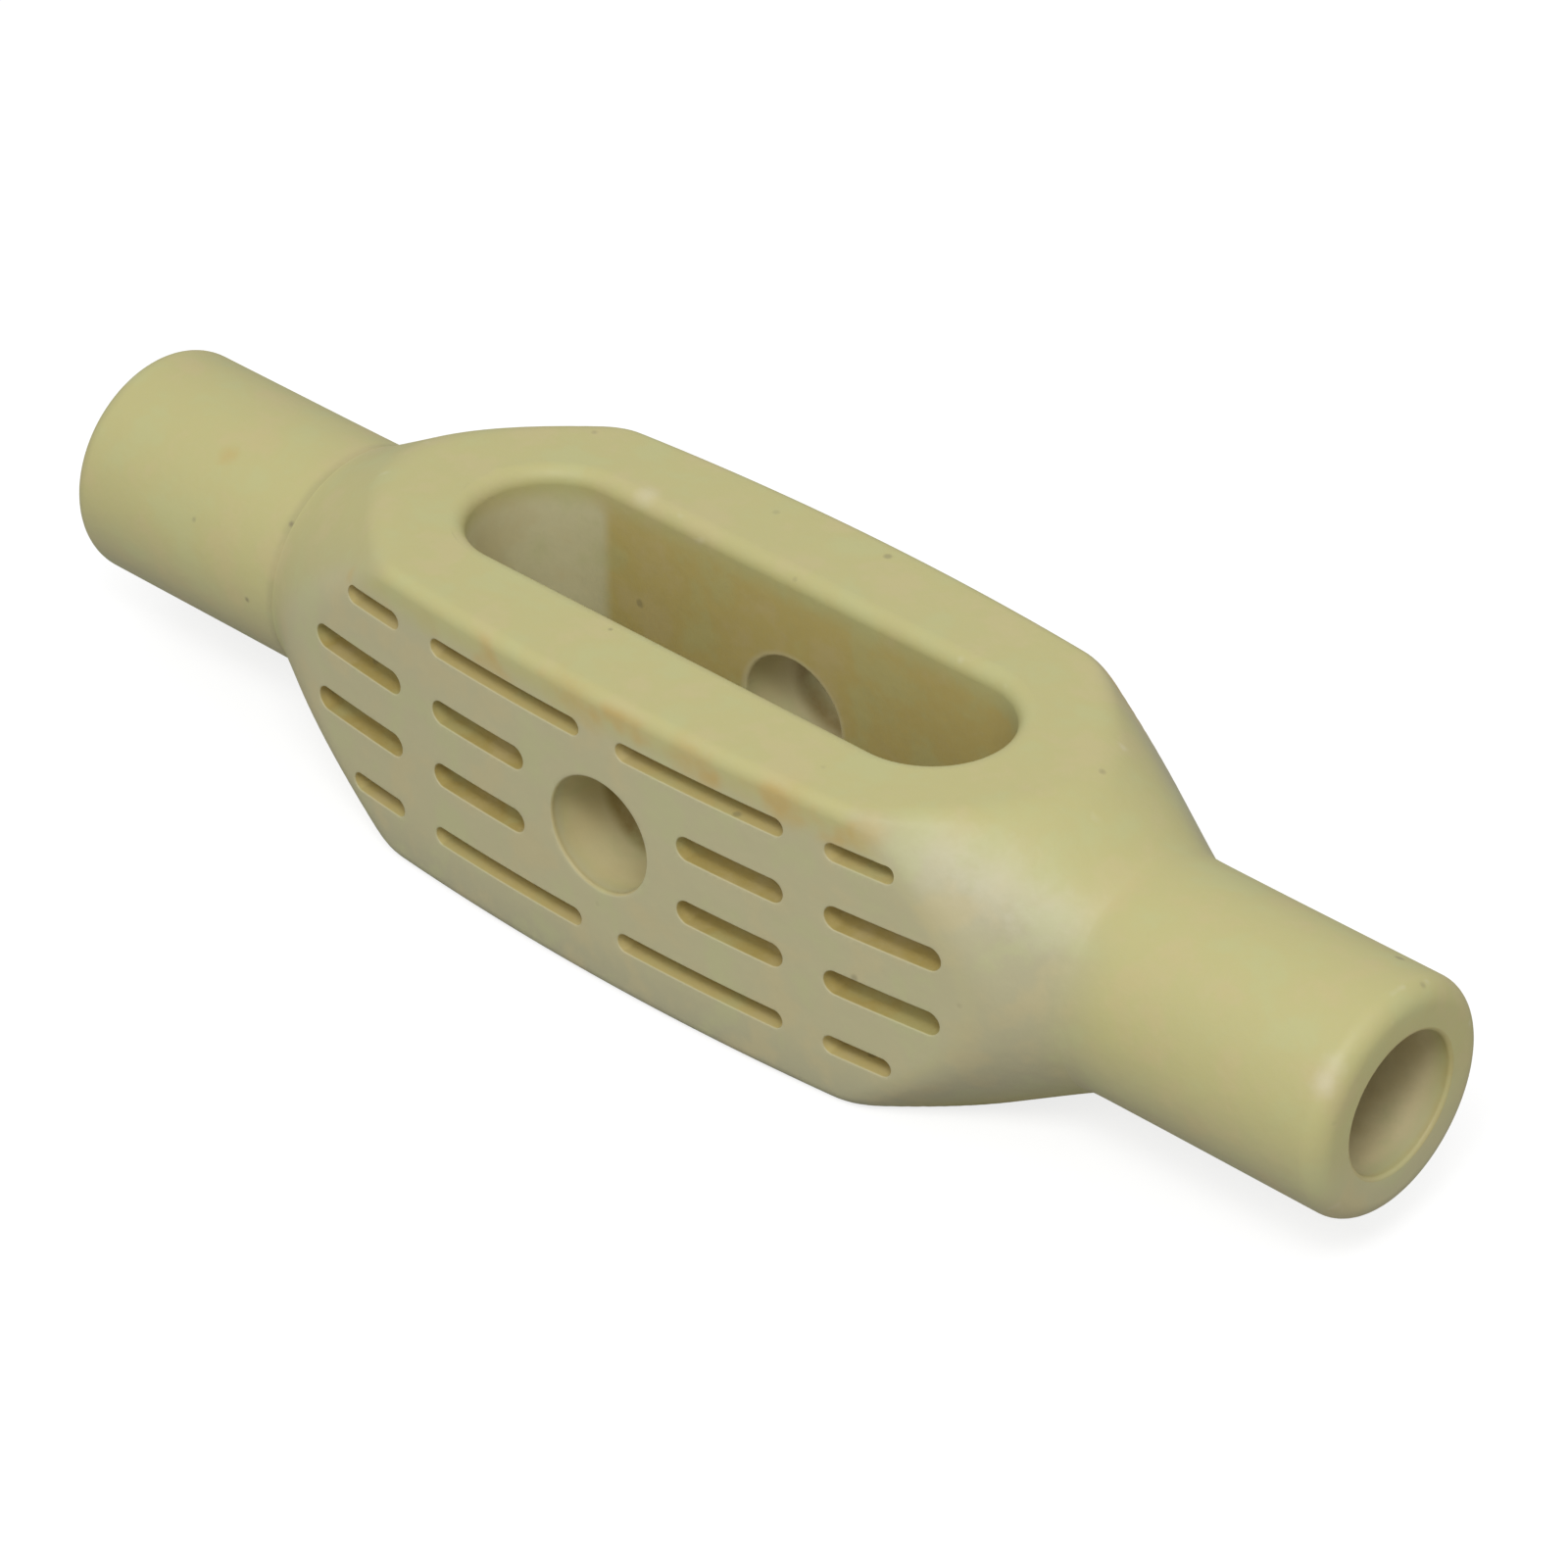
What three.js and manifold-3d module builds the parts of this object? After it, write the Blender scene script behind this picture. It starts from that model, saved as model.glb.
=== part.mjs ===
import * as THREE from 'three';
import { mergeVertices } from 'three/addons/utils/BufferGeometryUtils.js';
import Module from 'manifold-3d';

const wasm = await Module();
wasm.setup();

// An in-line air stone: a coned diffuser block with a window right through it,
// a cross hole, rows of blind grooves on both sides and a hose neck at each end.
// +X runs along the hose line and +Z is up. The origin is where the hose line
// meets the axis of the cross hole. All lengths are in millimetres.

// Diffuser block
const blockLength = 85;
const blockWidth = 32;
const blockHeight = 28;
const sideArcRadius = 242;
const longEdgeRadius = 1.25;
const coneHalfAngle = THREE.MathUtils.degToRad(30);

// Window through the block from top to bottom, as long as its end walls leave
const windowWidth = 13.5;
const windowEndWall = 4.375;
const windowRimRadius = 2.5;

// Cross hole through both side walls
const crossHoleDiameter = 10.25;
const crossHoleRimRadius = 0.75;

// Blind grooves on each side face, in four rows with bare posts between them
const grooveDepth = 2.5;
const rowMargin = 4.875;
const outerRowGrooveWidth = 1.9;
const innerRowGrooveWidth = 2.4;
const postWidth = 3.7;
const holeLandWidth = 3;
const outerRowLandWidth = 1.55;
const innerRowLandWidth = 2.6;
const outerPostShare = 0.675;

// Hose necks and the sockets that hold them
const neckDiameter = 20;
const neckWall = 4;
const neckLength = 24.625;
const neckMouthRadius = 1.9;
const boreMouthRadius = 0.75;
const shoulderWidth = 1.75;
const spigotClearance = 0.3;
const socketDepth = 8;

// Seal ring between each neck and the floor of its socket
const sealThickness = 1.5;
const sealBoreInset = 0.5;

// Air chamber beyond each socket, closed before the window
const chamberDepth = 3;
const chamberFloorRadius = 1.5;

// One overrun serves every cutting tool
const overrun = 5;

// Facet counts
const turnSteps = 64;
const holeSteps = 40;
const planArcSteps = 12;
const windowArcSteps = 10;
const grooveArcSteps = 3;
const edgeSteps = 4;
const creaseSteps = 8;

// Stations along the hose line, and radii that more than one piece uses
const blockHalfLength = blockLength / 2;
const socketFloor = blockHalfLength - socketDepth;
const chamberFloor = socketFloor - chamberDepth;
const windowHalfLength = chamberFloor - windowEndWall;
const crossHoleRadius = crossHoleDiameter / 2;
const neckRadius = neckDiameter / 2;
const boreRadius = neckRadius - neckWall;
const spigotRadius = neckRadius - shoulderWidth;

// Colours read from the photograph, for a satin mineral body
const stoneColour = 0xc3bf8f;
const neckColour = 0xc5bf90;
const sealColour = 0x2d2c2a;

const stoneFinish = () => new THREE.MeshStandardMaterial({
  color: stoneColour,
  roughness: 0.55,
  metalness: 0,
});

const neckFinish = () => new THREE.MeshStandardMaterial({
  color: neckColour,
  roughness: 0.5,
  metalness: 0,
});

const sealFinish = () => new THREE.MeshStandardMaterial({
  color: sealColour,
  roughness: 0.8,
  metalness: 0,
});

// A closed solid from a three.js geometry, without its pole slivers
function solidFrom(geometry) {
  geometry.deleteAttribute('normal');
  geometry.deleteAttribute('uv');
  const merged = mergeVertices(geometry);
  const corners = merged.index.array;
  const kept = [];
  for (let i = 0; i < corners.length; i += 3) {
    const [a, b, c] = corners.slice(i, i + 3);
    if (a !== b && b !== c && c !== a) kept.push(a, b, c);
  }
  const mesh = new wasm.Mesh({
    numProp: 3,
    vertProperties: merged.attributes.position.array,
    triVerts: new Uint32Array(kept),
  });
  return new wasm.Manifold(mesh);
}

// A named piece from a solid
function pieceFrom(name, solid, finish) {
  const { vertProperties, triVerts } = solid.getMesh();
  const geometry = new THREE.BufferGeometry();
  geometry.setAttribute('position', new THREE.BufferAttribute(vertProperties, 3));
  geometry.setIndex(new THREE.BufferAttribute(triVerts, 1));
  const flat = geometry.toNonIndexed();
  flat.computeVertexNormals();
  const piece = new THREE.Mesh(flat, finish);
  piece.name = name;
  return piece;
}

// Turns a lathe's own axis onto the hose line, pointing towards one end
function layAlongHoseLine(geometry, side) {
  const turn = new THREE.Matrix4().makeBasis(
    new THREE.Vector3(0, 0, 1),
    new THREE.Vector3(side, 0, 0),
    new THREE.Vector3(0, side, 0),
  );
  return geometry.applyMatrix4(turn);
}

// Points of a quarter round, from one angle to another, about a centre
function quarterRound(centreX, centreY, radius, fromTurn, toTurn) {
  const points = [];
  for (let i = 0; i <= edgeSteps; i += 1) {
    const angle = 2 * Math.PI * THREE.MathUtils.lerp(fromTurn, toTurn, i / edgeSteps);
    points.push(new THREE.Vector2(
      centreX + radius * Math.cos(angle),
      centreY + radius * Math.sin(angle),
    ));
  }
  return points;
}

// Plan outline of the block with its bowed long sides, drawn in by an inset
function bowedPlan(inset, halfLength) {
  const radius = sideArcRadius - inset;
  const centreOffset = sideArcRadius - blockWidth / 2;
  const halfAngle = Math.asin(halfLength / radius);
  const quarter = Math.PI / 2;
  const outline = new THREE.Shape();
  outline.absarc(0, centreOffset, radius, -quarter - halfAngle, -quarter + halfAngle, false);
  outline.absarc(0, -centreOffset, radius, quarter - halfAngle, quarter + halfAngle, false);
  outline.closePath();
  return outline;
}

// Outline of a slot with round ends, along x
function slotOutline(fromX, toX, y, width) {
  const radius = width / 2;
  const quarter = Math.PI / 2;
  const outline = new THREE.Shape();
  outline.absarc(toX - radius, y, radius, -quarter, quarter, false);
  outline.absarc(fromX + radius, y, radius, quarter, 3 * quarter, false);
  outline.closePath();
  return outline;
}

// Blank with bowed sides and rounded long edges
function bowedBlank() {
  const geometry = new THREE.ExtrudeGeometry(bowedPlan(0, blockHalfLength + overrun), {
    depth: blockHeight - 2 * longEdgeRadius,
    bevelEnabled: true,
    bevelThickness: longEdgeRadius,
    bevelSize: longEdgeRadius,
    bevelOffset: -longEdgeRadius,
    bevelSegments: edgeSteps,
    curveSegments: planArcSteps,
  });
  geometry.translate(0, 0, longEdgeRadius - blockHeight / 2);
  return solidFrom(geometry);
}

// Turned envelope whose cones bring the block down to its necks
function conedEnvelope() {
  const fullRadius = Math.hypot(blockWidth, blockHeight) / 2 + overrun;
  const coneLength = (fullRadius - neckRadius) / Math.tan(coneHalfAngle);
  const profile = [
    new THREE.Vector2(0, -blockHalfLength),
    new THREE.Vector2(neckRadius, -blockHalfLength),
    new THREE.Vector2(fullRadius, coneLength - blockHalfLength),
    new THREE.Vector2(fullRadius, blockHalfLength - coneLength),
    new THREE.Vector2(neckRadius, blockHalfLength),
    new THREE.Vector2(0, blockHalfLength),
  ];
  return solidFrom(layAlongHoseLine(new THREE.LatheGeometry(profile, turnSteps), 1));
}

// Window cutter with a flared mouth at both faces, which leaves a rounded rim
function windowTool() {
  const throatOutline = slotOutline(-windowHalfLength, windowHalfLength, 0, windowWidth);
  const throat = new THREE.ExtrudeGeometry(throatOutline, {
    depth: blockHeight - 2 * windowRimRadius,
    bevelEnabled: true,
    bevelThickness: windowRimRadius,
    bevelSize: -windowRimRadius,
    bevelOffset: windowRimRadius,
    bevelSegments: edgeSteps,
    curveSegments: windowArcSteps,
  });
  throat.translate(0, 0, windowRimRadius - blockHeight / 2);
  const mouthHalfLength = windowHalfLength + windowRimRadius;
  const mouthWidth = windowWidth + 2 * windowRimRadius;
  const mouthOutline = slotOutline(-mouthHalfLength, mouthHalfLength, 0, mouthWidth);
  let tool = solidFrom(throat);
  for (const floor of [blockHeight / 2, -blockHeight / 2 - overrun]) {
    const mouth = new THREE.ExtrudeGeometry(mouthOutline, {
      depth: overrun,
      bevelEnabled: false,
      curveSegments: windowArcSteps,
    });
    mouth.translate(0, 0, floor);
    tool = tool.add(solidFrom(mouth));
  }
  return tool;
}

// Cross hole cutter, through both side walls, flared to round each rim
function crossHoleTool() {
  const mouthRadius = crossHoleRadius + crossHoleRimRadius;
  const face = blockWidth / 2;
  const flare = face - crossHoleRimRadius;
  const profile = [
    new THREE.Vector2(0, -face - overrun),
    new THREE.Vector2(mouthRadius, -face - overrun),
    ...quarterRound(mouthRadius, -flare, crossHoleRimRadius, 0.75, 0.5),
    ...quarterRound(mouthRadius, flare, crossHoleRimRadius, 0.5, 0.25),
    new THREE.Vector2(mouthRadius, face + overrun),
    new THREE.Vector2(0, face + overrun),
  ];
  return solidFrom(new THREE.LatheGeometry(profile, holeSteps));
}

// Where the cone cuts a side face at a height above the hose line
function creaseStation(height) {
  const centreOffset = sideArcRadius - blockWidth / 2;
  let station = blockHalfLength;
  for (let i = 0; i < creaseSteps; i += 1) {
    const sideReach = Math.sqrt(sideArcRadius ** 2 - station ** 2) - centreOffset;
    const coneRise = Math.hypot(sideReach, height) - neckRadius;
    station = blockHalfLength - coneRise / Math.tan(coneHalfAngle);
  }
  return station;
}

// Grooves of one quarter of a side face: two rows, each in an inner and an outer stretch
function quarterGrooves() {
  const rowPitch = (blockHeight - 2 * rowMargin) / 3;
  const innerHeight = rowPitch / 2;
  const outerHeight = innerHeight + rowPitch;
  const outerPost = outerPostShare * creaseStation(outerHeight);
  const rows = [
    {
      height: innerHeight,
      width: innerRowGrooveWidth,
      start: crossHoleRadius + holeLandWidth,
      land: innerRowLandWidth,
    },
    {
      height: outerHeight,
      width: outerRowGrooveWidth,
      start: postWidth / 2,
      land: outerRowLandWidth,
    },
  ];
  return rows.flatMap(({ height, width, start, land }) => [
    { height, width, from: start, to: outerPost - postWidth / 2 },
    { height, width, from: outerPost + postWidth / 2, to: creaseStation(height) - land },
  ]);
}

// Groove cutters for both side faces, with floors that follow the bow of the sides
function grooveTool() {
  let bars = null;
  for (const groove of quarterGrooves()) {
    for (const end of [1, -1]) {
      for (const level of [1, -1]) {
        const [low, high] = [end * groove.from, end * groove.to].sort((a, b) => a - b);
        const outline = slotOutline(low, high, level * groove.height, groove.width);
        const bar = new THREE.ExtrudeGeometry(outline, {
          depth: blockWidth + 2 * overrun,
          bevelEnabled: false,
          curveSegments: grooveArcSteps,
        });
        bar.translate(0, 0, -blockWidth / 2 - overrun);
        bar.rotateX(Math.PI / 2);
        bars = bars ? bars.add(solidFrom(bar)) : solidFrom(bar);
      }
    }
  }
  const core = new THREE.ExtrudeGeometry(bowedPlan(grooveDepth, blockHalfLength + overrun), {
    depth: blockHeight,
    bevelEnabled: false,
    curveSegments: planArcSteps,
  });
  core.translate(0, 0, -blockHeight / 2);
  return bars.subtract(solidFrom(core));
}

// Socket and air chamber cutter for one end, turned about the hose line
function socketTool(side) {
  const socketRadius = spigotRadius + spigotClearance;
  const cornerRound = quarterRound(
    boreRadius - chamberFloorRadius,
    chamberFloor + chamberFloorRadius,
    chamberFloorRadius,
    -0.25,
    0,
  );
  const profile = [
    new THREE.Vector2(0, chamberFloor),
    ...cornerRound,
    new THREE.Vector2(boreRadius, socketFloor),
    new THREE.Vector2(socketRadius, socketFloor),
    new THREE.Vector2(socketRadius, blockHalfLength + overrun),
    new THREE.Vector2(0, blockHalfLength + overrun),
  ];
  return solidFrom(layAlongHoseLine(new THREE.LatheGeometry(profile, turnSteps), side));
}

function diffuserBlock() {
  const solid = bowedBlank()
    .intersect(conedEnvelope())
    .subtract(windowTool())
    .subtract(crossHoleTool())
    .subtract(grooveTool())
    .subtract(socketTool(1))
    .subtract(socketTool(-1));
  return pieceFrom('diffuser_block', solid, stoneFinish());
}

// Hose neck: a plain tube with rounded mouth, stepped down to a spigot behind its shoulder
function hoseNeck(name, side) {
  const halfWall = (neckRadius - boreRadius) / 2;
  const outerEdge = Math.min(neckMouthRadius, halfWall);
  const boreEdge = Math.min(boreMouthRadius, halfWall);
  const spigotEnd = sealThickness - socketDepth;
  const profile = [
    new THREE.Vector2(boreRadius, spigotEnd),
    new THREE.Vector2(spigotRadius, spigotEnd),
    new THREE.Vector2(spigotRadius, 0),
    new THREE.Vector2(neckRadius, 0),
    ...quarterRound(neckRadius - outerEdge, neckLength - outerEdge, outerEdge, 0, 0.25),
    ...quarterRound(boreRadius + boreEdge, neckLength - boreEdge, boreEdge, 0.25, 0.5),
    new THREE.Vector2(boreRadius, spigotEnd),
  ];
  const solid = solidFrom(layAlongHoseLine(new THREE.LatheGeometry(profile, turnSteps), side));
  const piece = pieceFrom(name, solid, neckFinish());
  piece.position.x = side * blockHalfLength;
  return piece;
}

// Flat ring that the neck's spigot presses onto the socket floor
function sealRing(name, side) {
  const innerRadius = boreRadius + sealBoreInset;
  const profile = [
    new THREE.Vector2(innerRadius, 0),
    new THREE.Vector2(spigotRadius, 0),
    new THREE.Vector2(spigotRadius, sealThickness),
    new THREE.Vector2(innerRadius, sealThickness),
    new THREE.Vector2(innerRadius, 0),
  ];
  const solid = solidFrom(layAlongHoseLine(new THREE.LatheGeometry(profile, turnSteps), side));
  const piece = pieceFrom(name, solid, sealFinish());
  piece.position.x = side * socketFloor;
  return piece;
}

// What goes into one end of the block
function hoseEnd(prefix, side) {
  const end = new THREE.Group();
  end.add(hoseNeck(`${prefix}_neck`, side));
  end.add(sealRing(`${prefix}_seal_ring`, side));
  return end;
}

const airStone = new THREE.Group();
airStone.add(diffuserBlock());
airStone.add(hoseEnd('right', 1));
airStone.add(hoseEnd('left', -1));

export default airStone;
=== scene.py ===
import math

import bmesh
import bpy
from mathutils import Matrix, Quaternion, Vector


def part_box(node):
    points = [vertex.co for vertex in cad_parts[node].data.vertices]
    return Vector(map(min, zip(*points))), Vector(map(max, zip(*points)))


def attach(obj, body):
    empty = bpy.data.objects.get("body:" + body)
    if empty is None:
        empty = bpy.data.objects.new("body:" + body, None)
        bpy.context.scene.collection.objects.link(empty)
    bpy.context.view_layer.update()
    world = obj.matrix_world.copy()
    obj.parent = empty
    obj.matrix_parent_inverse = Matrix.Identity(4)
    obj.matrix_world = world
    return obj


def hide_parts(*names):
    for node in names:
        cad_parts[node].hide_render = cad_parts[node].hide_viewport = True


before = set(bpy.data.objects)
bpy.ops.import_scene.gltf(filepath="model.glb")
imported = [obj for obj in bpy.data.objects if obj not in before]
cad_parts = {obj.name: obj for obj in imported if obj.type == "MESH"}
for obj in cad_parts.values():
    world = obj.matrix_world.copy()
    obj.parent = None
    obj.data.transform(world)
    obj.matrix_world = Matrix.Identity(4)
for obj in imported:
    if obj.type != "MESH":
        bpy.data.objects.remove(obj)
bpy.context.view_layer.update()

# The camera stands where the photograph was taken from: in front of the block, to its right
# and above it, with a long lens. The shift puts the block a little left of the middle.
mm = 0.001
view_azimuth = math.radians(42.685)
view_elevation = math.radians(34.755)
view_roll = math.radians(-0.117)
view_distance = 542.1 * mm
towards_camera = Vector((
    math.sin(view_azimuth) * math.cos(view_elevation),
    -math.cos(view_azimuth) * math.cos(view_elevation),
    math.sin(view_elevation),
))
camera_data = bpy.data.cameras.new("camera")
camera_data.sensor_width = 36
camera_data.lens = 156.1
camera_data.shift_x = 0.0306
camera_data.shift_y = -0.0174
camera = bpy.data.objects.new("camera", camera_data)
camera.location = view_distance * towards_camera
camera.rotation_mode = "QUATERNION"
camera.rotation_quaternion = (
    (-towards_camera).to_track_quat("-Z", "Y") @ Quaternion((0, 0, 1), view_roll)
)
bpy.context.scene.collection.objects.link(camera)
bpy.context.scene.camera = camera

# The diffuser block is one casting of bonded mineral. Its long bar has a flat top and
# underside and two bowed sides, and both ends are turned down to cones. The window, the
# cross hole, the grooves and the sockets for the necks are cored out of it.
block_low, block_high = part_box("diffuser_block")
half_length, half_width, half_height = block_high
neck_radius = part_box("right_neck")[1].z
side_arc_radius = 242 * mm
long_edge_radius = 1.25 * mm
long_edge_steps = 6
cone_slope = math.tan(math.radians(30))
crease_blend = 1.0 * mm
throat_blend = 0.6 * mm
cuts_around = 39
cuts_along = 179
end_crowding = 0.45
round_steps = 72
touching = 0.001 * mm
block_sharp_angle = math.radians(38)


def side_reach(x):
    """Distance from the hose line to a bowed side face at a station."""
    return math.sqrt(side_arc_radius**2 - x**2) - side_arc_radius + half_width


def soft_ramp(rise, blend):
    """A ramp that starts from level ground in a soft bend."""
    return (rise + math.hypot(rise, blend)) / 2


def soft_lesser(a, b, blend):
    """The lesser of two radii, rounded where they are alike."""
    share = max(blend - abs(a - b), 0) / blend
    return min(a, b) - share * share * blend / 4


def new_piece(name, shape):
    """A finished object from a bmesh, smooth but for its sharp edges."""
    mesh = bpy.data.meshes.new(name)
    bmesh.ops.recalc_face_normals(shape, faces=shape.faces)
    shape.to_mesh(mesh)
    shape.free()
    mesh.shade_smooth()
    piece = bpy.data.objects.new(name, mesh)
    bpy.context.scene.collection.objects.link(piece)
    return piece


def cored_out(piece, core):
    """Cuts a core out of a piece for good, and takes the core away."""
    cut = piece.modifiers.new("core", "BOOLEAN")
    cut.operation = "DIFFERENCE"
    cut.solver = "EXACT"
    cut.object = core
    bpy.context.view_layer.update()
    evaluated = piece.evaluated_get(bpy.context.evaluated_depsgraph_get())
    cut_mesh = bpy.data.meshes.new_from_object(evaluated)
    piece.modifiers.clear()
    old_mesh = piece.data
    piece.data = cut_mesh
    bpy.data.meshes.remove(old_mesh)
    cut_mesh.name = piece.name
    bpy.data.objects.remove(core)


def turned(profile, axis, steps):
    """A solid turned about an axis through the origin, from points of radius and height."""
    shape = bmesh.new()
    across = Vector((0, 1, 0)) if axis.x else Vector((1, 0, 0))
    half_step = Quaternion(axis, math.pi / steps)
    points = [
        shape.verts.new(half_step @ (radius * across + height * axis)) for radius, height in profile
    ]
    edges = [shape.edges.new(pair) for pair in zip(points, points[1:])]
    bmesh.ops.spin(
        shape, geom=points + edges, axis=axis, cent=(0, 0, 0), angle=2 * math.pi, steps=steps,
        use_merge=True,
    )
    bmesh.ops.remove_doubles(shape, verts=shape.verts, dist=touching)
    return shape


def round_corner(centre, radius, start, end, steps):
    """Points of an arc about a centre, with its angles as shares of a full turn."""
    angles = [2 * math.pi * (start + (end - start) * i / steps) for i in range(steps + 1)]
    return [(centre[0] + radius * math.cos(a), centre[1] + radius * math.sin(a)) for a in angles]


def bar_with_coned_ends():
    """The outer skin: a bar with rounded long edges, sliced finely, bowed and then turned."""
    bar = bmesh.new()
    bmesh.ops.create_cube(bar, size=2, matrix=Matrix.Diagonal((half_length, half_width, half_height, 1)))
    caps = [f for f in bar.faces if abs(f.normal.x) > 0.5]
    bmesh.ops.delete(bar, geom=caps, context="FACES_ONLY")
    long_edges = [e for e in bar.edges if abs(e.verts[0].co.x - e.verts[1].co.x) > half_length]
    bmesh.ops.bevel(
        bar, geom=long_edges, offset=long_edge_radius, offset_type="OFFSET", segments=long_edge_steps,
        profile=0.5, affect="EDGES", material=-1,
    )
    across_flats = [e for e in bar.edges if half_height < e.calc_length() < half_length]
    bmesh.ops.subdivide_edges(bar, edges=across_flats, cuts=cuts_around, use_grid_fill=True)
    lengthwise = [e for e in bar.edges if e.calc_length() > half_length]
    bmesh.ops.subdivide_edges(bar, edges=lengthwise, cuts=cuts_along, use_grid_fill=True)
    flat_width = half_width - long_edge_radius
    for vert in bar.verts:
        share = vert.co.x / half_length
        x = half_length * ((1 + end_crowding) * share - end_crowding * share**3)
        bow = side_reach(x) - half_width
        y = vert.co.y + bow * max(min(vert.co.y / flat_width, 1), -1)
        radius = math.hypot(y, vert.co.z)
        cone_radius = neck_radius + cone_slope * soft_ramp(half_length - abs(x), throat_blend)
        turned_radius = soft_lesser(radius, cone_radius, crease_blend)
        vert.co = (x, y * turned_radius / radius, vert.co.z * turned_radius / radius)
    open_ends = [e for e in bar.edges if e.is_boundary]
    bmesh.ops.holes_fill(bar, edges=open_ends, sides=0)
    return new_piece("air_stone_block", bar)


def stretched(shape, half_stretch):
    """Draws a turned core out along the hose line, half to each side."""
    for vert in shape.verts:
        if abs(vert.co.x) > touching:
            vert.co.x += math.copysign(half_stretch, vert.co.x)
    return shape


window_half_length = 27.125 * mm
window_radius = 6.75 * mm
window_rim_radius = 1.4 * mm
hole_radius = 5.125 * mm
hole_rim_radius = 0.3 * mm
inner_rim_radius = 0.25 * mm
pattern_rise = 0.65 * mm
overrun = 3 * mm


def window_core():
    """The core of the window, flared at the top and the underside to round its rims."""
    flare = half_height - window_rim_radius
    rim_radius = window_radius + window_rim_radius
    profile = [
        (0, -half_height - overrun),
        (rim_radius, -half_height - overrun),
        *round_corner((rim_radius, -flare), window_rim_radius, 0.75, 0.5, 8),
        *round_corner((rim_radius, flare), window_rim_radius, 0.5, 0.25, 8),
        (rim_radius, half_height + overrun),
        (0, half_height + overrun),
    ]
    core = turned(profile, Vector((0, 0, 1)), round_steps)
    return new_piece("window_core", stretched(core, window_half_length - window_radius))


def cross_hole_core():
    """The core of the cross hole, a little above the middle and flared at its mouths."""
    flare = half_width - hole_rim_radius
    rim_radius = hole_radius + hole_rim_radius
    inner_flare = window_radius + inner_rim_radius
    inner_rim = hole_radius + inner_rim_radius
    profile = [
        (0, -half_width - overrun),
        (rim_radius, -half_width - overrun),
        *round_corner((rim_radius, -flare), hole_rim_radius, 0.75, 0.5, 8),
        *round_corner((inner_rim, -inner_flare), inner_rim_radius, 0.5, 0.25, 5),
        *round_corner((inner_rim, inner_flare), inner_rim_radius, 0.75, 0.5, 5),
        *round_corner((rim_radius, flare), hole_rim_radius, 0.5, 0.25, 8),
        (rim_radius, half_width + overrun),
        (0, half_width + overrun),
    ]
    core = turned(profile, Vector((0, 1, 0)), round_steps)
    bmesh.ops.translate(core, verts=core.verts, vec=(0, 0, pattern_rise))
    return new_piece("cross_hole_core", core)


groove_depth = 2.5 * mm
groove_lip_radius = 0.12 * mm
groove_steps = 32
groove_slices = 10
groove_stretches = [
    # In millimetres: from and to along the hose line, height from the cross hole's axis, and
    # width at the face
    (1.85, 18.96, 9.125, 1.9),
    (22.66, 29.29, 9.125, 1.9),
    (8.125, 18.96, 3.042, 2.4),
    (22.66, 33.64, 3.042, 2.4),
]


def groove_core(start, end, height, width, side):
    """The core of one groove: a ball-nosed slot that follows the bow of its side."""
    radius = width / 2
    wall_radius = radius - groove_lip_radius
    profile = [
        *round_corner((0, wall_radius - groove_depth), wall_radius, 0.75, 1, 8),
        *round_corner((radius, -groove_lip_radius), groove_lip_radius, 0.5, 0.25, 4),
        (radius, overrun),
        (0, overrun),
    ]
    core = turned(profile, Vector((0, 1, 0)), groove_steps)
    half_straight = (end - start) / 2 - radius
    stretched(core, half_straight)
    for cut in range(1, groove_slices):
        station = Vector((half_straight * (2 * cut / groove_slices - 1), 0, 0))
        whole = [*core.verts, *core.edges, *core.faces]
        bmesh.ops.bisect_plane(core, geom=whole, plane_co=station, plane_no=Vector((1, 0, 0)))
    for vert in core.verts:
        x = vert.co.x + (start + end) / 2
        vert.co = (x, side * (side_reach(x) + vert.co.y), vert.co.z + height + pattern_rise)
    return core


def all_groove_cores():
    """The cores of both sides, mirrored left to right and top to bottom."""
    cores = bmesh.new()
    for start, end, height, width in groove_stretches:
        for side in (-1, 1):
            for level in (-1, 1):
                for first, last in ((start, end), (-end, -start)):
                    core = groove_core(first * mm, last * mm, level * height * mm, width * mm, side)
                    bmesh.ops.recalc_face_normals(core, faces=core.faces)
                    mesh = bpy.data.meshes.new("groove_core")
                    core.to_mesh(mesh)
                    core.free()
                    cores.from_mesh(mesh)
                    bpy.data.meshes.remove(mesh)
    return new_piece("groove_cores", cores)


socket_radius = 8.55 * mm
socket_length = 8 * mm
socket_floor = half_length - socket_length
chamber_radius = 6 * mm
chamber_length = 3 * mm
chamber_floor = socket_floor - chamber_length
chamber_floor_radius = 1.5 * mm


def socket_core(side):
    """The core of one socket and of the air chamber beyond it."""
    profile = [
        (0, chamber_floor),
        *round_corner(
            (chamber_radius - chamber_floor_radius, chamber_floor + chamber_floor_radius),
            chamber_floor_radius, -0.25, 0, 6,
        ),
        (chamber_radius, socket_floor),
        (socket_radius, socket_floor),
        (socket_radius, half_length + overrun),
        (0, half_length + overrun),
    ]
    return new_piece("socket_core", turned(profile, Vector((side, 0, 0)), round_steps))


block = bar_with_coned_ends()
cored_out(block, window_core())
cored_out(block, cross_hole_core())
cored_out(block, all_groove_cores())
cored_out(block, socket_core(1))
cored_out(block, socket_core(-1))
block.data.shade_smooth()
block.data.set_sharp_from_angle(angle=block_sharp_angle)
soft_shading = block.modifiers.new("weighted_normals", "WEIGHTED_NORMAL")
soft_shading.keep_sharp = True
soft_shading.weight = 50


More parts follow.
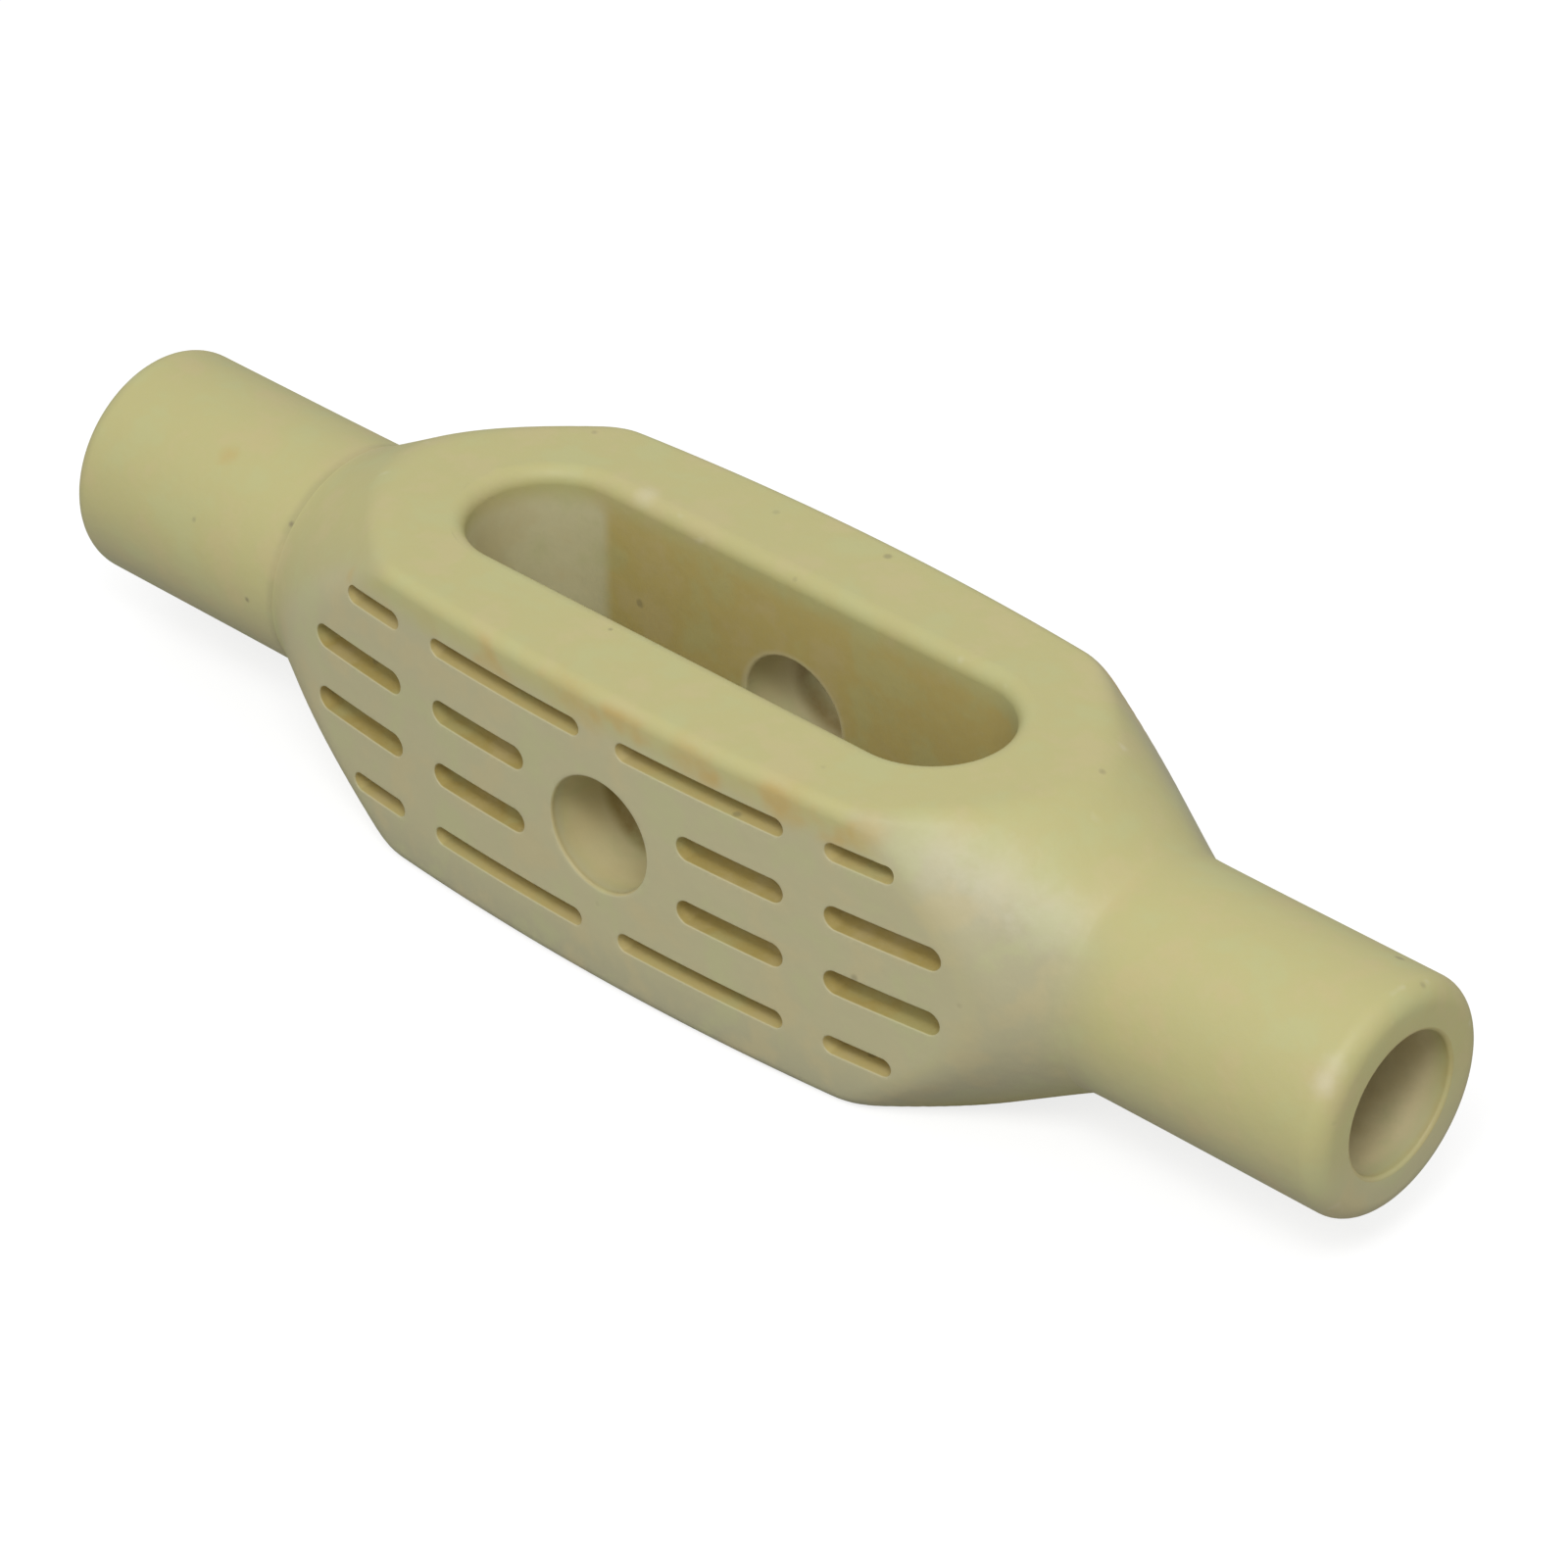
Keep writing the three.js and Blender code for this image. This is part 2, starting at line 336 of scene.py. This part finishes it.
class Wire:
    """An output of a node, with its Math nodes written as plain arithmetic."""

    def __init__(self, socket):
        self.socket = socket

    def maths(self, operation, *others, first=None):
        values = ([first] if first is not None else []) + [self, *others]
        tree = self.socket.id_data
        return node(tree, "ShaderNodeMath", {"operation": operation}, dict(enumerate(values)))

    def __add__(self, other):
        return self.maths("ADD", other)

    def __sub__(self, other):
        return self.maths("SUBTRACT", other)

    def __rsub__(self, other):
        return self.maths("SUBTRACT", first=other)

    def __mul__(self, other):
        return self.maths("MULTIPLY", other)

    __radd__ = __add__
    __rmul__ = __mul__


def node(tree, kind, settings, sockets, output=0):
    """A node of a kind, its settings made first, with values or wires on its sockets."""
    made = tree.nodes.new(kind)
    for name, value in settings.items():
        setattr(made, name, value)
    for name, value in sockets.items():
        if isinstance(value, Wire):
            tree.links.new(value.socket, made.inputs[name])
        else:
            made.inputs[name].default_value = value
    return Wire(made.outputs[output]) if made.outputs else None


def new_material(name):
    """An empty material and its tree."""
    material = bpy.data.materials.new(name)
    material.use_nodes = True
    material.node_tree.nodes.clear()
    return material, material.node_tree


def ramp(tree, value, fade):
    """Rises softly from 0 at the first number of a fade to 1 at its last."""
    start, end = fade
    return node(
        tree, "ShaderNodeMapRange", {"interpolation_type": "SMOOTHSTEP"},
        {"Value": value, "From Min": start, "From Max": end},
    )


def noise(tree, place, scale, detail=2.0):
    """Noise between 0 and 1, with its scale in waves per millimetre."""
    return node(
        tree, "ShaderNodeTexNoise", {},
        {"Vector": place, "Scale": scale, "Detail": detail, "Roughness": 0.55},
    )


def blend_colours(tree, share, first, second):
    """A mix of two colours."""
    return node(
        tree, "ShaderNodeMix", {"data_type": "RGBA"},
        {"Factor": share, "A": first, "B": second}, output=2,
    )


def place_in_millimetres(tree):
    """Object coordinates in millimetres, as a vector and as three wires."""
    coordinates = node(tree, "ShaderNodeTexCoord", {}, {}, output=3)
    place = node(
        tree, "ShaderNodeMapping", {"vector_type": "POINT"},
        {"Vector": coordinates, "Scale": (1 / mm,) * 3},
    )
    parts = [node(tree, "ShaderNodeSeparateXYZ", {}, {"Vector": place}, output=i) for i in range(3)]
    return place, parts


cream = (0.500, 0.463, 0.202, 1)
greyed_cream = (0.490, 0.452, 0.262, 1)
# Painted sheen: the grey on the cones' sides
cone_sheen_grey = (0.435, 0.402, 0.255, 1)
window_brown = (0.512, 0.420, 0.152, 1)
window_end_grey = (0.595, 0.558, 0.340, 1)
# Painted light on the cross hole's lit wall
hole_painted_light = (0.560, 0.495, 0.265, 1)
# Painted shadow deep in the cross hole and the bores
painted_shadow_brown = (0.300, 0.222, 0.066, 1)
# Painted shade in the grooves and on the edges of the cross hole and the bores
painted_shade_brown = (0.440, 0.345, 0.112, 1)
outer_groove_painted_shade = (0.540, 0.445, 0.180, 1)
# Painted shade towards the floor
painted_foot_shade = (0.360, 0.345, 0.225, 1)
# Pale wear, and painted glints and sheen
pale_wear_and_glint = (0.720, 0.690, 0.560, 1)
pinkish = (0.560, 0.478, 0.262, 1)
greenish = (0.480, 0.500, 0.240, 1)
rust = (0.515, 0.372, 0.125, 1)
speck_brown = (0.230, 0.200, 0.110, 1)
patch_scale = 0.20
wave_scale = 0.35
wear_and_glint_scale = 0.42
mark_scale = 0.9
grain_scale = 2.4
speck_scale = 0.19
patch_share = 0.35
grain_share = 0.10
speck_share = 0.5
wear_and_glint_share = 0.5
painted_edge_shade_share = 0.45
cone_sheen_share = 0.9
side_loss_share = 0.5
painted_foot_shade_share = 0.7
rust_share_anywhere = 0.06
rust_share_at_edge = 0.85
relief_height = 0.1 * mm
relief_strength = 0.35
wave_relief_share = 2.0
grain_relief_share = 0.35
speck_relief_share = -0.5
skin_blend = 1.5 * crease_blend
stone_roughness = 0.46
roughness_spread = 0.14
stone_ior = 1.5

# A fade runs from where a finish starts to where it is full: first those on noise, which are
# shares, and then places on the block and depths below its skin, in millimetres
patch_fade = (0.50, 0.66)
rust_fade = (0.50, 0.70)
grain_fade = (0.35, 0.75)
speck_draw_fade = (0.60, 0.64)
speck_fade = (0.90, 0.96)
rim_wear_and_glint_fade = (0.68, 0.84)
cone_skin_fade = (0.9, 0.1)
cone_turn_fade = (-4.5, 4.0)
cone_neck_fade = (47.0, 39.0)
left_to_right_fade = (-70.0, 30.0)
side_skin_fade = (2.2, 0.2)
side_height_fade = (12.8, 9.8)
foot_height_fade = (-7.5, -14.0)
window_reach_fade = (8.4, 6.9)
window_depth_fade = (1.2, 3.6)
window_ends_fade = (30.0, 28.5)
window_left_end_fade = (-21.2, -19.6)
hole_radius_fade = (5.9, 5.3)
hole_depth_fade = (0.3, 2.5)
hole_front_outer_fade = (-10.6, -9.2)
hole_front_inner_fade = (1.0, -1.0)
hole_back_fade = (11.6, 13.4)
hole_edge_outer_fade = (0.01, 0.08)
hole_edge_inner_fade = (0.7, 0.2)
groove_height_fade = (1.5, 2.8)
groove_reach_fade = (10.0, 11.0)
groove_skin_fade = (0.02, 0.14)
outer_rows_fade = (5.0, 7.0)
window_rim_upper_fade = (0.05, 0.4)
window_rim_lower_fade = (1.8, 0.8)
window_rim_reach_fade = (10.0, 9.0)
upper_edge_lower_fade = (9.8, 11.8)
upper_edge_upper_fade = (13.9, 13.0)
upper_edge_skin_fade = (1.6, 0.4)


def marked(tree, place, colour, marks):
    """Adds stains, specks, painted glints and painted sheen: each a soft spot of one colour about a
    point in millimetres.
    """
    waves = noise(tree, place, mark_scale) - 0.5
    for centre, reach, share, stain in marks:
        distance = node(
            tree, "ShaderNodeVectorMath", {"operation": "DISTANCE"}, {0: place, 1: centre}, output=1
        )
        spot = ramp(tree, distance + waves * reach * 0.5, (reach, 0.0))
        colour = blend_colours(tree, spot * share, colour, stain)
    return colour


def mineral_finish(tree, place, colour, rust_share):
    """Bonded mineral: soft patches, a fine grain and sparse dark specks, with a satin skin."""
    patches = noise(tree, place, patch_scale, 4.0)
    colour = blend_colours(tree, ramp(tree, patches, patch_fade) * patch_share, colour, pinkish)
    colour = blend_colours(tree, ramp(tree, 1 - patches, patch_fade) * patch_share, colour, greenish)
    rust_patches = ramp(tree, noise(tree, place, patch_scale), rust_fade)
    colour = blend_colours(tree, rust_patches * rust_share, colour, rust)
    grain = noise(tree, place, grain_scale)
    colour = blend_colours(tree, ramp(tree, grain, grain_fade) * grain_share, colour, greyed_cream)
    cell = {"Vector": place, "Scale": speck_scale}
    speck_distance = node(tree, "ShaderNodeTexVoronoi", {}, cell)
    speck_draw = node(tree, "ShaderNodeTexVoronoi", {}, cell, output=1)
    draw = node(tree, "ShaderNodeSeparateColor", {}, {"Color": speck_draw})
    specks = ramp(tree, 1 - speck_distance, speck_fade) * ramp(tree, draw, speck_draw_fade)
    colour = blend_colours(tree, specks * speck_share, colour, speck_brown)
    waves = noise(tree, place, wave_scale)
    height = waves * wave_relief_share + grain * grain_relief_share + specks * speck_relief_share
    relief = node(
        tree, "ShaderNodeBump", {},
        {"Strength": relief_strength, "Distance": relief_height, "Height": height},
    )
    roughness = stone_roughness + roughness_spread * waves
    surface = node(
        tree, "ShaderNodeBsdfPrincipled", {},
        {"Base Color": colour, "Roughness": roughness, "Normal": relief, "IOR": stone_ior},
    )
    node(tree, "ShaderNodeOutputMaterial", {"target": "ALL"}, {"Surface": surface})


def cone_painted_sheen(tree, x, y, z):
    """Painted sheen on the cones: grey on their sides, fading out along the necks, most on the right."""
    reach_x, reach_y, reach_z = (part.maths("ABSOLUTE") for part in (x, y, z))
    painted_sheen = ramp(tree, reach_y - reach_z, cone_turn_fade) * ramp(tree, x, left_to_right_fade)
    return painted_sheen * ramp(tree, reach_x, cone_neck_fade)


block_marks = [
    # Centre, reach, share and colour: a painted sheen on the right cone, a painted glint by the cross
    # hole and two on the window's rim, stains under the upper edge, and a speck
    ((31.8, -11.4, 11.8), 4.2, 0.24, pale_wear_and_glint),
    ((35.6, -9.7, 10.1), 4.8, 0.28, pale_wear_and_glint),
    ((39.6, -8.2, 8.2), 4.0, 0.24, pale_wear_and_glint),
    ((-2.6, -16.0, -2.6), 0.7, 0.80, pale_wear_and_glint),
    ((-20.7, 5.2, 13.8), 1.4, 0.35, pale_wear_and_glint),
    ((-16.8, 7.5, 13.9), 1.6, 0.35, pale_wear_and_glint),
    ((-19.0, -15.2, 12.2), 2.2, 0.40, rust),
    ((-3.0, -15.9, 12.4), 3.4, 0.55, rust),
    ((9.0, -15.8, 12.4), 2.6, 0.45, rust),
    ((19.0, -15.2, 12.4), 3.2, 0.45, rust),
    ((26.5, -14.4, 12.6), 2.4, 0.45, rust),
    ((-5.4, -8.6, 14.0), 0.28, 0.70, speck_brown),
]


def block_finish():
    """The block's mineral: greyer on its sides, browner in its window, with a painted sheen on its cones
    and painted light and shade in its other recesses.
    """
    material, tree = new_material("block_mineral")
    place, (x, y, z) = place_in_millimetres(tree)
    reach_x, reach_y, reach_z = (part.maths("ABSOLUTE") for part in (x, y, z))

    # How deep a point lies below the bowed sides, the flats, the cones and the blended skin
    arc = side_arc_radius / mm
    side = (arc**2 - reach_x * reach_x).maths("SQRT") - (arc - half_width / mm)
    side_depth = side - reach_y
    top_depth = half_height / mm - reach_z
    cone = (half_length / mm - reach_x) * cone_slope + neck_radius / mm
    cone_depth = cone - (reach_y * reach_y + reach_z * reach_z).maths("SQRT")
    skin_depth = side_depth.maths("SMOOTH_MIN", cone_depth, skin_blend / mm)

    # The sides are greyer than the flats, the cones' sides greyer still as painted sheen, most on the
    # right, and their foot darkest as painted shade near the floor
    cone_side_sheen = ramp(tree, cone_depth, cone_skin_fade) * cone_painted_sheen(tree, x, y, z)
    side_face = ramp(tree, side_depth, side_skin_fade)
    side_grey = side_face * ramp(tree, z, side_height_fade)
    colour = blend_colours(tree, cone_side_sheen * cone_sheen_share, cream, cone_sheen_grey)
    colour = blend_colours(tree, side_grey * (1 - cone_side_sheen * side_loss_share), colour, greyed_cream)
    # Painted shade: darker towards the floor on the sides and the cones
    foot = ramp(tree, z, foot_height_fade) * side_face.maths("MAXIMUM", cone_side_sheen)
    colour = blend_colours(tree, foot * painted_foot_shade_share, colour, painted_foot_shade)

    # The window's walls are browner, but for its left end
    in_window = ramp(tree, reach_y, window_reach_fade) * ramp(tree, top_depth, window_depth_fade)
    in_window = in_window * ramp(tree, reach_x, window_ends_fade)
    past_left_end = ramp(tree, x, window_left_end_fade)
    window_wall = blend_colours(tree, past_left_end, window_end_grey, window_brown)
    colour = blend_colours(tree, in_window, colour, window_wall)

    # The cross hole has a painted shadow, brown deep in the front wall and far out in the back wall,
    # a thin brown edge of painted shade, and pale painted light elsewhere
    rise = z - pattern_rise / mm
    in_hole = ramp(tree, (x * x + rise * rise).maths("SQRT"), hole_radius_fade)
    front_deep = ramp(tree, y, hole_front_outer_fade) * ramp(tree, y, hole_front_inner_fade)
    hole_painted_shadow = front_deep.maths("MAXIMUM", ramp(tree, y, hole_back_fade))
    hole_painted_light_and_shadow = blend_colours(tree, hole_painted_shadow, hole_painted_light, painted_shadow_brown)
    below_rim = ramp(tree, side_depth, hole_depth_fade)
    colour = blend_colours(tree, in_hole * below_rim, colour, hole_painted_light_and_shadow)
    hole_edge = in_hole * ramp(tree, side_depth, hole_edge_outer_fade)
    hole_edge = hole_edge * ramp(tree, side_depth, hole_edge_inner_fade)
    colour = blend_colours(tree, hole_edge * painted_edge_shade_share, colour, painted_shade_brown)

    # Painted shade: the grooves are brown from their lips down, and paler in the outer rows
    in_groove = ramp(tree, top_depth, groove_height_fade) * ramp(tree, reach_y, groove_reach_fade)
    in_groove = in_groove * (1 - in_hole) * ramp(tree, skin_depth, groove_skin_fade)
    outer_rows = ramp(tree, reach_z, outer_rows_fade)
    groove_painted_shade = blend_colours(tree, outer_rows, painted_shade_brown, outer_groove_painted_shade)
    colour = blend_colours(tree, in_groove, colour, groove_painted_shade)

    # Pale wear on the window's rims, partly painted glints, the single marks, and rust under the upper
    # edge
    window_rim = ramp(tree, top_depth, window_rim_upper_fade)
    window_rim = window_rim * ramp(tree, top_depth, window_rim_lower_fade)
    window_rim = window_rim * ramp(tree, reach_y, window_rim_reach_fade)
    wear_and_glint = ramp(tree, noise(tree, place, wear_and_glint_scale, 1.0), rim_wear_and_glint_fade) * window_rim
    colour = blend_colours(tree, wear_and_glint * wear_and_glint_share, colour, pale_wear_and_glint)
    colour = marked(tree, place, colour, block_marks)
    upper_edge = ramp(tree, z, upper_edge_lower_fade) * ramp(tree, z, upper_edge_upper_fade)
    upper_edge = upper_edge * ramp(tree, side_depth, upper_edge_skin_fade)
    mineral_finish(tree, place, colour, upper_edge * rust_share_at_edge + rust_share_anywhere)
    return material


block.data.materials.clear()
block.data.materials.append(block_finish())
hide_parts("diffuser_block")
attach(block, "root")

# Each hose neck is a plain tube of the same mineral, pressed and fired by itself. Its
# spigot is cemented into the block's socket, and its shoulder sits on the block's end.
# The hose is pushed over the neck from its rounded mouth.
neck_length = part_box("right_neck")[1].x - half_length
spigot_length = half_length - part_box("right_neck")[0].x
bore_radius = 6 * mm
spigot_radius = 8.25 * mm
mouth_radius = 1.9 * mm
bore_edge_radius = 0.35 * mm
joint_radius = 0.12 * mm
throat_stations = [step * mm for step in (0.05, 0.15, 0.3, 0.5, 0.8, 1.2, 1.7, 2.4, 3.4, 5)]
throat_length = 8 * mm
neck_steps = 144
neck_sharp_angle = math.radians(50)
neck_rust_share = 0.12
joint_share = 0.3
neck_foot_share = 0.9
neck_foot_fade = (3.0, -8.0)
# Painted light and shadow in the bores, and painted shade on their edges
bore_radius_fade = (6.9, 6.2)
bore_depth_fade = (0.6, 2.4)
bore_shadow_fade = (6.5, 7.5)
bore_edge_radius_fade = (6.36, 6.28)
bore_edge_depth_fade = (0.9, 0.3)
joint_fade = (1.2, 0.1)
# Pale wear on the mouths' rims, partly painted glints
mouth_rim_radius_fade = (8.2, 8.8)
mouth_rim_depth_fade = (1.6, 0.8)
mouth_wear_and_glint_fade = (0.64, 0.80)
# Painted light on the bores' lit walls
bore_painted_light = (0.640, 0.555, 0.320, 1)
neck_marks = [
    # A painted glint at the right mouth, a stain on the left neck, and specks at and beside its joint
    ((65.8, -8.1, 5.9), 1.6, 0.50, pale_wear_and_glint),
    ((65.9, -7.2, 7.0), 1.6, 0.25, pale_wear_and_glint),
    ((-52.3, -5.2, 8.5), 1.5, 0.55, rust),
    ((-42.8, -7.3, 6.9), 0.42, 0.90, speck_brown),
    ((-45.7, -10.0, -0.5), 0.36, 0.80, speck_brown),
    ((-52.6, -9.2, 4.0), 0.36, 0.60, speck_brown),
]


def hose_neck(name, side):
    """A turned neck, with a soft throat by the cone, and a joint that shows on the left."""
    throat = [
        (neck_radius + cone_slope * soft_ramp(-station, throat_blend), half_length + station)
        for station in throat_stations
    ]
    shoulder = neck_radius + cone_slope * throat_blend / 2
    chamfer = joint_radius if side < 0 else 0
    mouth = half_length + neck_length
    profile = [
        (bore_radius, half_length - spigot_length),
        (spigot_radius, half_length - spigot_length),
        (spigot_radius, half_length),
        (shoulder - chamfer, half_length),
        *throat[2 if chamfer else 0:],
        (neck_radius, half_length + throat_length),
        *round_corner((neck_radius - mouth_radius, mouth - mouth_radius), mouth_radius, 0, 0.25, 12),
        *round_corner(
            (bore_radius + bore_edge_radius, mouth - bore_edge_radius), bore_edge_radius, 0.25, 0.5, 10
        ),
        (bore_radius, half_length - spigot_length),
    ]
    neck = new_piece(name, turned(profile, Vector((side, 0, 0)), neck_steps))
    neck.data.set_sharp_from_angle(angle=neck_sharp_angle)
    return neck


def neck_finish():
    """The necks' mineral: a painted sheen by the cones, greyer below, painted light and shade in the
    bores, and browner at the joint.
    """
    material, tree = new_material("neck_mineral")
    place, (x, y, z) = place_in_millimetres(tree)
    radius = (y * y + z * z).maths("SQRT")
    bore_depth = (half_length + neck_length) / mm - x.maths("ABSOLUTE")
    # Painted sheen: grey on the cones' sides, fading out along the necks
    painted_sheen = cone_painted_sheen(tree, x, y, z)
    colour = blend_colours(tree, painted_sheen * cone_sheen_share, cream, cone_sheen_grey)
    foot = ramp(tree, z, neck_foot_fade)
    colour = blend_colours(tree, foot * neck_foot_share, colour, greyed_cream)
    # Painted light and shadow down the bores, and painted shade on their edges
    bore_painted_light_and_shadow = blend_colours(tree, ramp(tree, bore_depth, bore_shadow_fade), bore_painted_light, painted_shadow_brown)
    bore = ramp(tree, radius, bore_radius_fade) * ramp(tree, bore_depth, bore_depth_fade)
    colour = blend_colours(tree, bore, colour, bore_painted_light_and_shadow)
    bore_edge = ramp(tree, radius, bore_edge_radius_fade) * ramp(tree, bore_depth, bore_edge_depth_fade)
    colour = blend_colours(tree, bore_edge * painted_edge_shade_share, colour, painted_shade_brown)
    joint = ramp(tree, (x + half_length / mm).maths("ABSOLUTE"), joint_fade)
    colour = blend_colours(tree, joint * joint_share, colour, speck_brown)
    # Pale wear on the mouth's rim, partly painted glints
    mouth_rim = ramp(tree, bore_depth, mouth_rim_depth_fade) * ramp(tree, radius, mouth_rim_radius_fade)
    wear_and_glint = ramp(tree, noise(tree, place, wear_and_glint_scale, 1.0), mouth_wear_and_glint_fade) * mouth_rim
    colour = blend_colours(tree, wear_and_glint * wear_and_glint_share, colour, pale_wear_and_glint)
    colour = marked(tree, place, colour, neck_marks)
    mineral_finish(tree, place, colour, neck_rust_share)
    return material


neck_material = neck_finish()
for neck_name, neck_side in (("right_neck", 1), ("left_neck", -1)):
    neck = hose_neck(f"hose_{neck_name}", neck_side)
    neck.data.materials.append(neck_material)
    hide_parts(neck_name)
    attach(neck, "root")

# The seal rings are flat rubber washers, one on the floor of each socket, where the end of
# the spigot holds them. They show only down the bores.
seal_black = (0.026, 0.025, 0.024, 1)
bloom_grey = (0.060, 0.060, 0.055, 1)
bloom_scale = 0.8
bloom_fade = (0.5, 0.8)
bloom_share = 0.5
rubber_relief_strength = 0.3
rubber_roughness = 0.65
rubber_roughness_spread = 0.2


def seal_finish():
    """Matt black rubber with a little bloom."""
    material, tree = new_material("seal_rubber")
    place, _ = place_in_millimetres(tree)
    bloom = noise(tree, place, bloom_scale, 3.0)
    colour = blend_colours(tree, ramp(tree, bloom, bloom_fade) * bloom_share, seal_black, bloom_grey)
    relief = node(
        tree, "ShaderNodeBump", {},
        {"Strength": rubber_relief_strength, "Distance": relief_height, "Height": bloom},
    )
    roughness = rubber_roughness + rubber_roughness_spread * bloom
    surface = node(
        tree, "ShaderNodeBsdfPrincipled", {},
        {"Base Color": colour, "Roughness": roughness, "Normal": relief},
    )
    node(tree, "ShaderNodeOutputMaterial", {"target": "ALL"}, {"Surface": surface})
    return material


seal_material = seal_finish()
for seal_name in ("right_seal_ring", "left_seal_ring"):
    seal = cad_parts[seal_name]
    seal.data.materials.clear()
    seal.data.materials.append(seal_material)

# The studio: a wide pale floor under the block, which shows white and keeps a faint shadow,
# a white surround, and two soft lamps high on the camera's side.
floor_reach = 3
floor_height = block_low.z - 0.02 * mm
paper_grey = (0.42, 0.42, 0.42, 1)
seen_paper_grey = (0.30, 0.30, 0.30, 1)
white = (1, 1, 1, 1)
floor_glow = 0.78
mirrored_strength = 0.66
surround_strength = 0.62
floor_shape = bmesh.new()
bmesh.ops.create_grid(
    floor_shape, x_segments=1, y_segments=1, size=floor_reach,
    matrix=Matrix.Translation((0, 0, floor_height)),
)
floor = new_piece("floor", floor_shape)
floor_material, floor_tree = new_material("studio_floor")
paper = node(floor_tree, "ShaderNodeBsdfDiffuse", {}, {"Color": paper_grey})
shaded_paper = node(floor_tree, "ShaderNodeBsdfDiffuse", {}, {"Color": seen_paper_grey})
glow = node(floor_tree, "ShaderNodeEmission", {}, {"Color": white, "Strength": floor_glow})
seen_paper = node(floor_tree, "ShaderNodeAddShader", {}, {0: shaded_paper, 1: glow})
seen = node(floor_tree, "ShaderNodeLightPath", {}, {}, output=0)
floor_surface = node(floor_tree, "ShaderNodeMixShader", {}, {0: seen, 1: paper, 2: seen_paper})
node(floor_tree, "ShaderNodeOutputMaterial", {}, {"Surface": floor_surface})
floor.data.materials.append(floor_material)

world = bpy.data.worlds.new("surround")
bpy.context.scene.world = world
world.use_nodes = True
world.node_tree.nodes.clear()
seen = node(world.node_tree, "ShaderNodeLightPath", {}, {}, output=0)
mirrored = node(world.node_tree, "ShaderNodeLightPath", {}, {}, output=3)
strength = seen.maths("MAXIMUM", mirrored * mirrored_strength).maths("MAXIMUM", surround_strength)
surround = node(world.node_tree, "ShaderNodeBackground", {}, {"Color": white, "Strength": strength})
node(world.node_tree, "ShaderNodeOutputWorld", {}, {"Surface": surround})


def soft_lamp(name, size, power, place):
    """A square soft lamp that faces the block."""
    lamp_data = bpy.data.lights.new(name, "AREA")
    lamp_data.size = size
    lamp_data.energy = power
    lamp = bpy.data.objects.new(name, lamp_data)
    lamp.location = place
    lamp.rotation_euler = (-Vector(place)).to_track_quat("-Z", "Y").to_euler()
    bpy.context.scene.collection.objects.link(lamp)


soft_lamp("key_lamp", size=0.25, power=2.1, place=(0.35, -0.39, 0.76))
soft_lamp("front_lamp", size=0.30, power=2.1, place=(0.20, -0.56, 0.71))

bpy.context.scene.view_settings.view_transform = "Standard"
